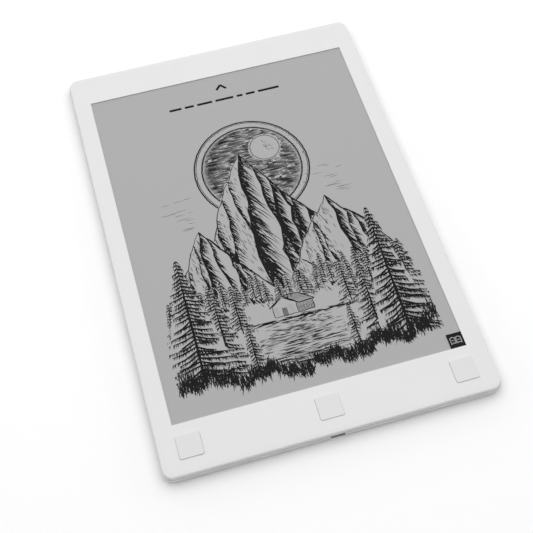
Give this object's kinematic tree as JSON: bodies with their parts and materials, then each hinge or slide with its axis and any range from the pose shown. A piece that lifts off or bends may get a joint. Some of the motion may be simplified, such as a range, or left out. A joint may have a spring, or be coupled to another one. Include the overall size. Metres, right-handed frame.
{
  "type": "e-reader",
  "caption": "Thin e-reader slate with a large matte e-paper screen in a white frame, square front keys along the chin, an edge power key and a charging socket.",
  "frame": {"origin": "middle of the underside, on the plane the rubber feet rest on", "axes": "+Z out of the screen, +Y towards the top edge of the screen, +X to the reader's right"},
  "size_m": [0.177, 0.2564, 0.0071],
  "materials": {
    "frame_white": "matte, fine moulded grain",
    "shell_white": "matte, fine moulded grain",
    "back_panel": "soft-touch matte",
    "feet_rubber": "matte rubber",
    "chassis_metal": "die-cast, satin",
    "gasket_foam": "fine black foam",
    "screen_film": "textured anti-glare, matte",
    "touch_glass": "clear laminate",
    "panel_glass": "grey e-paper on glass",
    "chip_black": "moulded black epoxy",
    "board_green": "solder-mask satin",
    "shield_steel": "bright tinned",
    "flex_amber": "polyimide film",
    "key_white": "matte",
    "dome_steel": "bright",
    "switch_plastic": "moulded black",
    "contact_brass": "gold-plated",
    "lead_black": "smooth sheath",
    "graphite": "graphite, dull sheen",
    "socket_steel": "plated, satin",
    "tongue_plastic": "moulded black",
    "battery_foil": "laminated foil pouch",
    "tape_black": "stretch tape",
    "lead_red": "smooth sheath",
    "screw_steel": "zinc-plated"
  },
  "bodies": {
    "case": {"front_frame": "frame_white", "rear_shell": "shell_white", "rear_panel": "back_panel", "rear_feet": "feet_rubber", "mid_frame": "chassis_metal", "screen_gasket": "gasket_foam", "cover_film": "screen_film", "touch_sensor": "touch_glass", "display_panel": "panel_glass", "display_driver": "chip_black", "pen_board": "board_green", "pen_shield": "shield_steel", "display_flex": "flex_amber", "pen_flex": "flex_amber", "touch_flex": "flex_amber", "key_board": "board_green", "key_switches": "switch_plastic", "key_flex": "flex_amber", "power_switch": "shield_steel", "power_board": "board_green", "power_flex": "flex_amber", "main_board": "board_green", "board_connectors": "switch_plastic", "processor": "chip_black", "memory_chips": "chip_black", "power_chip": "chip_black", "shield_can": "shield_steel", "radio_module": "shield_steel", "antenna": "contact_brass", "antenna_cable": "lead_black", "heat_sheet": "graphite", "usb_shell": "socket_steel", "usb_tongue": "tongue_plastic", "usb_contacts": "contact_brass", "battery_cell": "battery_foil", "battery_tape": "tape_black", "battery_board": "board_green", "battery_cable": "lead_red", "frame_screws": "screw_steel", "shell_screws": "screw_steel", "board_screws": "screw_steel"},
    "left_key_body": {"left_key": "key_white", "left_dome": "dome_steel"},
    "home_key_body": {"home_key": "key_white", "home_dome": "dome_steel"},
    "right_key_body": {"right_key": "key_white", "right_dome": "dome_steel"},
    "power_key_body": {"power_key": "key_white", "power_plunger": "switch_plastic"}
  },
  "joints": [
    {"name": "left_key_press", "type": "slide", "parent": "case", "child": "left_key_body", "axis": [0, 0, -1], "range_m": [0, 0.00035], "stiffness_N_per_m": 1500},
    {"name": "home_key_press", "type": "slide", "parent": "case", "child": "home_key_body", "axis": [0, 0, -1], "range_m": [0, 0.00035], "stiffness_N_per_m": 1500},
    {"name": "right_key_press", "type": "slide", "parent": "case", "child": "right_key_body", "axis": [0, 0, -1], "range_m": [0, 0.00035], "stiffness_N_per_m": 1500},
    {"name": "power_key_press", "type": "slide", "parent": "case", "child": "power_key_body", "axis": [0, -1, 0], "range_m": [0, 0.0003], "stiffness_N_per_m": 1500}
  ]
}
